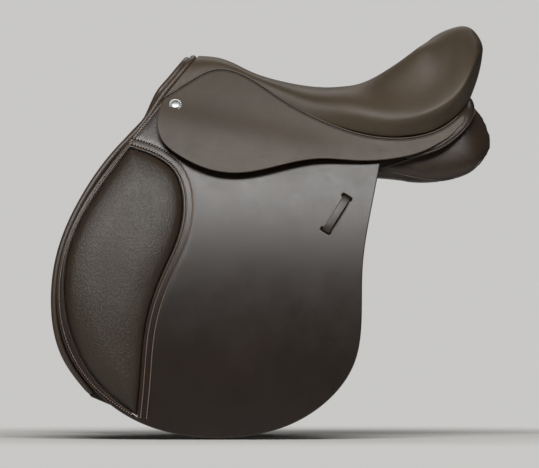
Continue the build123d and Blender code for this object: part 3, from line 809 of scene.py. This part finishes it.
def make_flap():
    """The flap's leather, pulled in along its stitch rows."""
    flat = flap_tile[0]
    seam = groove_shade_mask(flat)
    outer = flap_surface(flat) - GROOVE_DEPTH * seam**1.5
    inner = FLAP[0] + waves(flat, *FLAP_WAVES)
    flap = sheet_solid("flap_leather_skin", flap_tile, outer, inner, [FLAP_LEATHER, EDGE_TONE_AND_HIGHLIGHT])
    # The seam attribute carries the painted shade of the stitch grooves, on the outer face only.
    set_attribute(flap, "seam", np.concatenate([seam, seam * 0]))
    return flap


def flap_stitches():
    """The stitching of the flap's rows."""
    rows = [barrel_row(row, flap_surface(row)) for row in flap_rows]
    return stitching("flap_stitches", rows, [THREAD, HOLE_SHADE])


both_sides(make_flap(), "flap_skin", ["flap", "flap_upper"], flap_bend)
both_sides(flap_stitches(), "flap_stitches", [], flap_bend)


# ---- knee pad ----
PAD_EDGE_RADIUS = 911.5
PAD_CROWN = 14.5
PAD_RISE, PAD_DOME = 4.5, 42.0  # how far inside its edge the pad has risen steeply, and is at full height


def pad_solid():
    """A crowned pad that swells out of the flap's opening."""
    inner_loop = beside(pad_loop, 0.9, True)
    inner_loop = even(np.concatenate([inner_loop, inner_loop[:1]]), 2.5)[:-1]
    tiled = tile([inner_loop], 3.6, rings=(0.5, 1.2, 2.2, 3.6))
    flat, _, _, depth = tiled
    swell = 1 - np.exp(-((depth / PAD_RISE) ** 1.2))
    dome = np.sin(np.clip(depth / PAD_DOME, 0, 1) * math.pi / 2)
    crown = PAD_CROWN * (0.45 * swell + 0.55 * dome)
    crown = crown + waves(flat, 0.35, 32.0, 1.0) * swell
    outer = PAD_EDGE_RADIUS + crown
    return sheet_solid("knee_pad", tiled, outer, KNEE_PAD[0], [PAD_LEATHER, PAD_LEATHER], edge=2.0)


PAD_NODES = ["knee_pad", "knee_pad_upper"]
both_sides(pad_solid(), "knee_pad_cushion", PAD_NODES, flap_bend)


# ---- keeper ----
def keeper_strap():
    """The strap that goes out through the upper slot, over the flap, and in through the lower one."""
    turn = math.radians(KEEPER_TURN)
    half = KEEPER_LENGTH / 2
    end = [(half - 16, -7.0), (half - 6, -7.2), (half - 0.6, -3.5), (half - 0.2, 0.6), (half - 4, 2.8)]
    end += [(12, 4.6)]
    line = spline([*[(-along, height) for along, height in end], (0, 5.0), *end[::-1]], 1.2)
    rim = [(-5.9, 0.55), (-5.5, 0.9), (-4.6, 1.05), (0.0, 1.1), (4.6, 1.05), (5.5, 0.9), (5.9, 0.55)]
    around = [*rim, *[(across, -half_thick) for across, half_thick in rim[::-1]]]
    verts = []
    for (s, h), (ns, nh) in zip(line, normals_2d(line, False)):
        for w, t in around:
            along, radius = s + t * ns, FLAP[1] + h + t * nh
            x = KEEPER_CENTRE[0] + along * math.cos(turn) - w * math.sin(turn)
            z = KEEPER_CENTRE[1] + along * math.sin(turn) + w * math.cos(turn)
            verts.append(on_barrel(np.array([[x, z]]), radius)[0])
    faces = [*grid_faces(len(line), len(around), True), *end_caps(len(line), len(around))]
    return make_object("keeper", verts, [face[::-1] for face in faces], [STRAP_LEATHER])


both_sides(keeper_strap(), "keeper_strap", ["keeper"], on_flap)


# ---- skirt ----
skirt_loop = ring(2.5, [*SKIRT_TOP, *SKIRT_TAIL], [*SKIRT_UNDER, *SKIRT_LOBE_EDGE])


def below_fold(flat):
    """Distance below the skirt's fold line in side view, in mm."""
    (xa, za), (xb, zb) = SKIRT_FOLD
    length = math.hypot(xb - xa, zb - za)
    return ((flat[:, 0] - xa) * (zb - za) - (flat[:, 1] - za) * (xb - xa)) / length


def skirt_lift(flat):
    """How far the skirt stands off its layer: over the stirrup bar, and with a small crease near the tail."""
    rise = LOBE_RISE / (1 + np.exp(-(below_fold(flat) + 14) / 9.0))
    ahead = 1 / (1 + np.exp((flat[:, 0] - 15) / 22.0))
    dimple = 1.0 * np.exp(-(((flat[:, 0] - 76) / 11) ** 2) - ((flat[:, 1] - 7) / 7) ** 2)
    crease = 0.5 * np.exp(-(((flat[:, 0] - 78) / 5) ** 2) - ((flat[:, 1] + 1) / 1.4) ** 2)
    return rise * ahead + waves(flat, 0.12, 45.0, 2.0) - dimple - crease


def make_skirt():
    """The skirt's leather with its long tail."""
    tiled = tile([skirt_loop], 5.0)
    lift = skirt_lift(tiled[0])
    return sheet_solid("skirt_skin", tiled, SKIRT[1] + lift, SKIRT[0] + lift, [SKIRT_LEATHER, EDGE_TONE_AND_HIGHLIGHT], edge=1.3)


both_sides(make_skirt(), "skirt_skin", ["skirt", "skirt_lobe"], skirt_bend)


# ---- welt ----
WELT_CORDS = [(2.4, -0.6, 1.35), (-0.3, -0.2, 1.05)]  # height over the seam, stand off the skirt, radius


def welt_piping():
    """Two cords of piping, one above the other, in the seam between seat and skirt."""
    top = spline([*SKIRT_TOP, *SKIRT_TAIL], 2.5)
    parts = []
    for lift, out, radius in WELT_CORDS:
        line = beside(top, lift)
        path = on_barrel(line, SKIRT[1] + out + skirt_lift(line))
        parts.append(tube(path, rounded_ends(len(path), radius), 10))
    return make_object("welt", *merged(parts), [PIPING_LEATHER])


both_sides(welt_piping(), "welt_piping", ["skirt_welt"], on_root)


# ---- badge ----
def badge_disc():
    """A plain domed saddle nail with a turned ring."""
    profile = [(0, 2.9), (2.5, 2.8), (5.0, 2.5), (6.6, 2.1), (7.2, 1.7), (7.8, 1.7), (8.4, 2.3), (9.2, 2.2)]
    profile += [(9.8, 1.6), (10.0, 0.8), (9.9, -0.4)]
    place = on_barrel(np.array([BADGE_AT]), SKIRT[1] + 0.3)[0]
    normal = barrel_normal(np.array([BADGE_AT[1]]), SKIRT[1])[0]
    across = np.array([1.0, 0.0, 0.0])
    up = np.cross(across, normal)
    sides = 48
    verts = [place + normal * profile[0][1] * MM]
    for radius, height in profile[1:]:
        for c, s in circle(sides):
            verts.append(place + ((across * c + up * s) * radius + normal * height) * MM)
    faces = [(0, b, a) for _, a, b in fan_faces(sides)]
    faces += grid_faces(len(profile) - 1, sides, True, first=1)
    faces.append(tuple(range(len(verts) - sides, len(verts))))
    return make_object("badge", verts, faces, [NICKEL])


both_sides(badge_disc(), "saddle_nail", ["badge"], on_root)


# ---- seat ----
DISH = 13.0  # depth of the seat between its two sides
TOP_POINTS = 81
WALL_POINTS = 13
FRONT_POINTS = 24
COVER_LEAN = math.tan(math.radians(39.35))
COVER_THICKNESS = 2.5


def seat_section(values):
    """Points across the seat, from the near welt over rim, crown and far rim to the far welt."""
    cx, crown, sx, sy, sz, rx, ry, rz, wx, wy, wz = values
    dished = ease(cx, 10, 110) * ease(-cx, -185, -110)
    ridge = (cx, 0.38 * sy, crown - (crown - sz) * 0.24 * (1 - dished))
    middle = (cx, 0.0, crown - DISH * dished)
    half = [(wx, wy, wz), (rx, ry, rz), (sx, sy, sz), ridge]
    near = [(x, -y, z) for x, y, z in half]
    points = [*near, middle, *half[::-1]]
    soft, knots = natural(points, 600)
    parts = [soft[: knots[1] + 1], soft[knots[1] : knots[-2] + 1], soft[knots[-2] :]]
    sharp_top = natural(points[1:-1], 500)[0]
    bulge = 3.5 * ease(cx, 200, 224) - 1.0
    wall = [(wx, wy, wz), ((wx + rx) / 2 + bulge, (wy + ry) / 2 - 1.5, (wz + rz) / 2), (rx, ry, rz)]
    sharp_wall = natural(wall, 100)[0]
    sharp = [sharp_wall * (1, -1, 1), sharp_top, sharp_wall[::-1]]
    fold = 0.7 * ease(cx, 60, 150)
    line = np.zeros((1, 3))
    for part, hard, count in zip(parts, sharp, (WALL_POINTS, TOP_POINTS, WALL_POINTS)):
        mixed = spread(part, count) * (1 - fold) + spread(hard, count) * fold
        line = np.concatenate([line[:-1], mixed])
    for _ in range(2):
        line[1:-1] = 0.5 * line[1:-1] + 0.25 * (line[:-2] + line[2:])
    return line


def make_seat():
    """The seat's leather: a loft through its sections, cut off along the slanting front edge."""
    stations = [(*crown, *shoulder, *rim, *welt) for crown, shoulder, rim, welt in SEAT]
    grid = np.array([seat_section(values) for values in spline(stations, 5.5)])
    columns = []
    for k in range(grid.shape[1]):
        line = grid[:, k]
        ahead = line[:, 0] - (-197 + (line[:, 2] - 139) * COVER_LEAN)
        first = int(np.argmax(ahead > 0))
        share = ahead[first] / (ahead[first] - ahead[first - 1])
        start = line[first] + (line[first - 1] - line[first]) * share
        columns.append(np.concatenate([[start], line[first:]]))
    rear = min(len(column) for column in columns) - 1
    lined = []
    for column in columns:
        ahead = len(column) - rear
        lined.append(np.concatenate([spread(column[: ahead + 1], FRONT_POINTS)[:-1], column[ahead:]]))
    sheet = np.array(lined) * MM
    across, along = sheet.shape[:2]
    obj = make_object("seat", sheet.reshape(-1, 3), grid_faces(across, along), [SEAT_LEATHER])
    free = obj.vertex_groups.new(name="free")  # what the smoothing may move: all but the edges
    for i in range(3, across - 3):
        for j in range(4, along):
            free.add([i * along + j], min(1.0, (j - 3) / 6, (i - 2) / 4, (across - 3 - i) / 4), "REPLACE")
    modify(obj, "WELD", merge_threshold=0.2 * MM)
    modify(obj, "SMOOTH", iterations=12, factor=0.5, vertex_group="free")
    modify(obj, "SOLIDIFY", thickness=COVER_THICKNESS * MM, offset=-1.0)
    return apply_modifiers(obj)


seat = make_seat()
seat.name = "seat_cushion"
dress(seat, ["seat_cover", "seat_foam"])


# ---- front rolls ----
ROLL_RADIUS = 5.0
ARCH_LIFT = 4.0

# Arch points: half width, and drop below the top of the arch
EDGE_LEGS = [(0, 5.3), (12, 7), (21, 11), (34, 26), (45, 48), (55, 71)]
PANEL_LEGS = [(0, 13.5), (12, 15), (22, 20), (34, 34), (44, 54), (54, 76)]

# Where the rolls run on, in side view
EDGE_RUN = [(x + 4.5, z - 2.5) for x, z in [(-281, 42), *SWEAT_FRONT[1:-1]]] + [(-350, -359)]
PANEL_RUN = [(-272, 46), (-300, 14)]


def arch_point(half_width, drop, front):
    """A point on the pommel arch, in mm."""
    x, _, z = [front * f + (drop - ARCH_LIFT) * d for f, d in zip(ARCH_FRONT, ARCH_DOWN)]
    return (ARCH_TOP[0] + x, half_width, ARCH_TOP[2] + z)


def make_roll(name, front, legs, run, radius, nodes):
    """A leather covered cord from the near foot over the pommel arch to the far foot."""
    foot = [tuple(p / MM) for p in on_barrel(np.array(run[::-1], float), radius)]
    half = [*foot, *[arch_point(-width, drop, front) for width, drop in legs[::-1]]]
    path = spline([*half, *[(x, -y, z) for x, y, z in half[-2::-1]]], 3.0) * MM
    roll = make_object(name, *tube(path, rounded_ends(len(path), ROLL_RADIUS), 14), [PIPING_LEATHER])
    dress(roll, nodes)


EDGE_NODES = ["flap_arch_roll", "near_front_roll", "far_front_roll"]
make_roll("front_edge_roll", 15.8, EDGE_LEGS, EDGE_RUN, 902.5, EDGE_NODES)
make_roll("panel_edge_roll", 21.6, PANEL_LEGS, PANEL_RUN, 888.0, ["panel_arch_roll"])


# ---- sweat flap ----
def make_sweat_flap():
    """The flap next to the horse."""
    tiled = tile([ring(3.5, SWEAT_FRONT, SWEAT_BOTTOM, SWEAT_BACK, SWEAT_TOP)], 9.0)
    lift = waves(tiled[0], 0.4, 60.0, 3.0)
    return sheet_solid("sweat", tiled, SWEAT_FLAP[1] + lift, SWEAT_FLAP[0] + lift, [STRAP_LEATHER, EDGE_TONE_AND_HIGHLIGHT])


both_sides(make_sweat_flap(), "sweat_flap_skin", ["sweat_flap"], on_root)


# ---- panels ----
SECTION_POINTS = 44
PANEL_VOXEL = 5.0
CLOTH_FRAMES, CLOTH_CAP = 20, 3.0

# The thin part of the panel in front, under the sweat flap, in side view
FRONT_PART = [
    [(-252, 28), (-305, -22), (-355, -90), (-385, -160), (-392, -222), (-372, -290)],
    [(-372, -290), (-300, -320), (-180, -300), (-120, -200)],
    [(-120, -200), (-60, -90), (-60, -10)],
    [(-60, -10), (-200, 10), (-252, 28)],
]


def panel_section(values):
    """A soft closed section between four corners, squarer towards the front."""
    x = values[0]
    corners = np.array(values[1:]).reshape(4, 2)
    angles = np.linspace(0, 2 * math.pi, SECTION_POINTS, endpoint=False)
    power = 2.0 / (3.4 - 1.2 * ease(x, 50, 120))
    s = np.sign(np.cos(angles)) * np.abs(np.cos(angles)) ** power
    t = np.sign(np.sin(angles)) * np.abs(np.sin(angles)) ** power
    inner, outer = (1 - s) / 2, (1 + s) / 2
    low, high = (1 - t) / 2, (1 + t) / 2
    shares = np.stack([inner * high, outer * high, outer * low, inner * low], axis=1)
    return [(x, y, z) for y, z in shares @ corners]


def make_panel():
    """The near panel: its rear cushion lofted along the horse's back, and its thin front part."""
    stations = [(x, *[c for corner in corners for c in corner]) for x, *corners in PANEL]
    rows = [panel_section(values) for values in spline(stations, 7.0)]
    verts = np.array(rows).reshape(-1, 3) * MM
    faces = grid_faces(len(rows), SECTION_POINTS, True) + end_caps(len(rows), SECTION_POINTS)
    tiled = tile([ring(4.0, *FRONT_PART)], 8.0, rings=(1.0, 3.0))
    flat, _, _, depth = tiled
    swell = 1 - np.exp(-((depth / 16.0) ** 1.3))
    middle = FRONT_PANEL[1] - 6.0
    outer = middle + 2.5 + 3.0 * np.clip(swell * 1.6, 0, 1)
    inner = middle - 4.5 - 5.0 * swell
    plate = sheet_solid("front_panel", tiled, outer, inner, [PANEL_LEATHER], edge=1.0)
    body = make_object("panel", verts, faces, [PANEL_LEATHER])
    with bpy.context.temp_override(active_object=body, selected_editable_objects=[body, plate]):
        bpy.ops.object.join()
    return body


def vertex_places(obj):
    """The object's vertices as rows of x, y, z."""
    co = np.zeros(len(obj.data.vertices) * 3)
    obj.data.vertices.foreach_get("co", co)
    return co.reshape(-1, 3)


def inflate(obj):
    """A short cloth simulation under pressure, whose movement is capped."""
    rest = vertex_places(obj)
    cloth = obj.modifiers.new("cloth", "CLOTH")
    settings = {"quality": 4, "mass": 0.3, "tension_stiffness": 20, "compression_stiffness": 20}
    settings |= {"bending_stiffness": 2, "use_pressure": True, "uniform_pressure_force": 4.0}
    for key, value in settings.items():
        setattr(cloth.settings, key, value)
    cloth.settings.effector_weights.gravity = 0
    cloth.point_cache.frame_start = 1
    cloth.point_cache.frame_end = CLOTH_FRAMES
    for number in range(1, CLOTH_FRAMES + 1):
        bpy.context.scene.frame_set(number)
    apply_modifiers(obj)
    bpy.context.scene.frame_set(1)
    shift = vertex_places(obj) - rest
    size = np.linalg.norm(shift, axis=1)
    limit = np.minimum(1.0, CLOTH_CAP * MM / np.maximum(size, 1e-9))
    obj.data.vertices.foreach_set("co", (rest + shift * limit[:, None]).ravel())
    obj.data.update()


def soften(obj):
    """Makes one soft skin of the panel's parts, and fills it."""
    modify(obj, "REMESH", mode="VOXEL", voxel_size=PANEL_VOXEL * MM)
    apply_modifiers(obj)
    modify(obj, "SMOOTH", iterations=6, factor=0.5)
    apply_modifiers(obj)
    inflate(obj)
    modify(obj, "SUBSURF", levels=1, render_levels=1)
    apply_modifiers(obj)
    obj.data.polygons.foreach_set("use_smooth", [True] * len(obj.data.polygons))
    return obj


near_panel = soften(make_panel())
both_sides(near_panel, "panel_cushion", ["panel", "gusset"], on_root)

panel_surface = BVHTree.FromPolygons(
    [v.co.copy() for v in near_panel.data.vertices], [tuple(p.vertices) for p in near_panel.data.polygons]
)


PANEL_SEAMS = [
    [(72, -30), (104, -36), (133, -42), (163, -44), (193, -38), (212, -28), (226, -12)],
    [(74, -27), (104, -18), (126, -11), (150, -2)],
]


def panel_piping():
    """Piping along the panel's seams, dropped onto its outer surface from the side."""
    parts = []
    for points in PANEL_SEAMS:
        place = []
        for x, z in spline(points, 2.5) * MM:
            hit, normal, _, _ = panel_surface.ray_cast(Vector((x, -0.3, z)), Vector((0, 1, 0)))
            if hit is not None:
                place.append(np.array(hit) + np.array(normal) * 0.4 * MM)
        parts.append(tube(np.array(place), rounded_ends(len(place), 1.3), 8))
    return make_object("panel_piping", *merged(parts), [PANEL_LEATHER])


both_sides(panel_piping(), "panel_piping", [], on_root)


# ---- leather at the back ----
# The facing's edges from the side to the middle of the back: x, half width and z
FACING_UPPER = [(112, 98, 12), (150, 97, 24), (174, 89, 41), (192, 78, 57), (203, 60, 70), (207.5, 34, 77)]
FACING_UPPER += [(208.5, 0, 80)]
FACING_LOWER = [(112, 111, -13), (140, 111, -6), (166, 108, 4), (185, 101.5, 17), (203, 91.5, 35)]
FACING_LOWER += [(211.5, 80, 48), (214.5, 60, 56), (215, 34, 60), (215, 0, 61)]
FACING_SWELL = 2.6


def around_the_back(half):
    """A smooth line from the near side round the back to the far side, from its near half."""
    near = [(x, -y, z) for x, y, z in half]
    return natural([*near, *half[-2::-1]], 800)[0]


def cantle_facing():
    """The soft strip under the cantle that runs down each side, with a corded lower edge."""
    upper, lower = [spread(around_the_back(half), 150) for half in (FACING_UPPER, FACING_LOWER)]
    out = unit(np.cross(lower - upper, np.gradient(upper + lower, axis=0)))
    lines = []
    for share in np.linspace(0, 1, 9):
        swell = FACING_SWELL * math.sin(math.pi * share) ** 0.7
        lines.append(upper + (lower - upper) * share + out * swell)
    verts = np.stack(lines, axis=1).reshape(-1, 3) * MM
    faces = grid_faces(len(upper), len(lines))
    facing = make_object("cantle_facing_leather", verts, faces, [PANEL_LEATHER])
    modify(facing, "SOLIDIFY", thickness=2.0 * MM, offset=-1.0)
    dress(apply_modifiers(facing), ["cantle_facing"])
    cord = (lower + out * 0.6) * MM
    piping = make_object("cantle_roll", *tube(cord, rounded_ends(len(cord), 1.4, 10), 12), [PANEL_LEATHER])
    dress(piping)


cantle_facing()


BRIDGE_HALF_WIDTH = 25.5


def make_bridge():
    """The leather that joins the panels over the channel, sagging slightly between them."""
    rows, width = 9, 13
    verts = []
    for x in np.linspace(173, 203, rows):
        for y in np.linspace(-BRIDGE_HALF_WIDTH, BRIDGE_HALF_WIDTH, width):
            sag = 1.4 * (1 - (y / BRIDGE_HALF_WIDTH) ** 2)
            verts.append(np.array([x, y, 43.4 - sag - 0.3 * abs(x - 188) / 15]) * MM)
    faces = [(a, d, c, b) for a, b, c, d in grid_faces(rows, width)]
    obj = make_object("panel_bridge_leather", verts, faces, [PANEL_LEATHER])
    modify(obj, "SOLIDIFY", thickness=2.6 * MM, offset=-1.0)
    modify(obj, "BEVEL", width=0.8 * MM, segments=2)
    dress(apply_modifiers(obj), ["panel_bridge"])


make_bridge()

# ---- materials of the CAD nodes that stay ----
WOOD = wood("beech_laminate")
WEB = woven("webbing", (176, 166, 146), (116, 106, 88))
CAD_MATERIALS = [
    (WOOD, ["tree"]),
    (STEEL, ["gullet_plate", "plate_rivets", "tree_nails", "bar_rivets"]),
    (STEEL, ["stirrup_bar", "stirrup_catch", "catch_pin"]),
    (WEB, ["cross_webs", "lengthwise_web", "girth_web"]),
    (STRAP_LEATHER, ["buckle_guard", "point_pocket", "front_billet", "middle_billet", "rear_billet"]),
]
for material, names in CAD_MATERIALS:
    for name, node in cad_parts.items():
        if name.removeprefix("near_").removeprefix("far_") in names:
            node.data.materials.clear()
            node.data.materials.append(material)


# ---- floor, light and camera ----
FLOOR_Z = -0.4265
FLOOR_RADIUS = 3.4
FLOOR_SIDES = 96
PALE = (0.58, 0.575, 0.565, 1.0)


def pale_floor():
    """A wide disc that takes the shadow near the saddle and fades into the pale surround further out."""
    rim = [(FLOOR_RADIUS * c, FLOOR_RADIUS * s, FLOOR_Z) for c, s in circle(FLOOR_SIDES)]
    verts = [(0.0, 0.0, FLOOR_Z), *rim]
    n = Nodes("pale_floor")
    tone = n.noise(3.0, 3.0)
    colour = n.mix(tone, linear((212, 211, 208)), linear((220, 219, 216)))
    n.finish(colour, n.ramp(tone, 0.3, 0.7, 0.75, 0.85))
    middle = n.node("Mapping", {"Vector": n.coords, "Location": (0.09, 0.0, 0.0)}).outputs[0]
    away = n.node("VectorMath", {"Vector": middle}, operation="LENGTH").outputs["Value"]
    fade = n.ramp(away, 0.5, 1.0)
    seen = n.node("LightPath").outputs["Is Camera Ray"]
    surround = n.node("Emission", {"Color": PALE}).outputs[0]
    far_off = n.math("MULTIPLY", fade, seen)
    blend = n.node("MixShader", {"Fac": far_off, 1: n.shader.outputs[0], 2: surround})
    n.put(n.tree.nodes["Material Output"].inputs["Surface"], blend.outputs[0])
    make_object("floor", verts, fan_faces(FLOOR_SIDES), [n.owner])


def area_light(name, place, width, height, power, colour=(1.0, 1.0, 1.0)):
    """A soft rectangular light aimed at the middle of the saddle."""
    data = bpy.data.lights.new(name, "AREA")
    data.shape = "RECTANGLE"
    data.size, data.size_y = width, height
    data.energy = power
    data.color = colour
    light = bpy.data.objects.new(name, data)
    light.location = place
    light.rotation_euler = (MIDDLE - Vector(place)).to_track_quat("-Z", "Y").to_euler()
    bpy.context.scene.collection.objects.link(light)


def studio_world():
    """Pale to the camera, and a dim even fill for everything else."""
    n = Nodes("studio", "worlds")
    fill = n.node("Background", {"Color": (0.9, 0.92, 0.95, 1.0), "Strength": 0.04}).outputs[0]
    pale = n.node("Background", {"Color": PALE}).outputs[0]
    seen = n.node("LightPath").outputs["Is Camera Ray"]
    chosen = n.node("MixShader", {"Fac": seen, 1: fill, 2: pale}).outputs[0]
    n.put(n.tree.nodes["World Output"].inputs["Surface"], chosen)
    bpy.context.scene.world = n.owner
    bpy.context.scene.view_settings.view_transform = "Standard"


pale_floor()
MIDDLE = Vector((-0.09, 0.0, -0.05))
area_light("key_overhead", (-0.15, -1.95, 2.05), 2.6, 0.72, 80.0, (1.0, 0.99, 0.97))
area_light("rim_behind", (0.2, 1.9, 1.9), 2.2, 0.8, 14.0, (1.0, 0.95, 0.9))
area_light("fill_front", (-1.9, -2.6, 0.5), 1.2, 1.2, 2.0)
studio_world()

CAMERA_DISTANCE = 15.0
VIEW_CENTRE = (-0.0895, -0.1243)
VIEW_WIDTH = 0.7977
camera_data = bpy.data.cameras.new("camera")
camera_data.sensor_width = 36.0
camera_data.lens = 36.0 * CAMERA_DISTANCE / VIEW_WIDTH
camera_data.clip_end = 100.0
camera = bpy.data.objects.new("camera", camera_data)
camera.location = (VIEW_CENTRE[0], -0.1 - CAMERA_DISTANCE, VIEW_CENTRE[1])
camera.rotation_euler = (math.pi / 2, 0, 0)
bpy.context.scene.collection.objects.link(camera)
bpy.context.scene.camera = camera
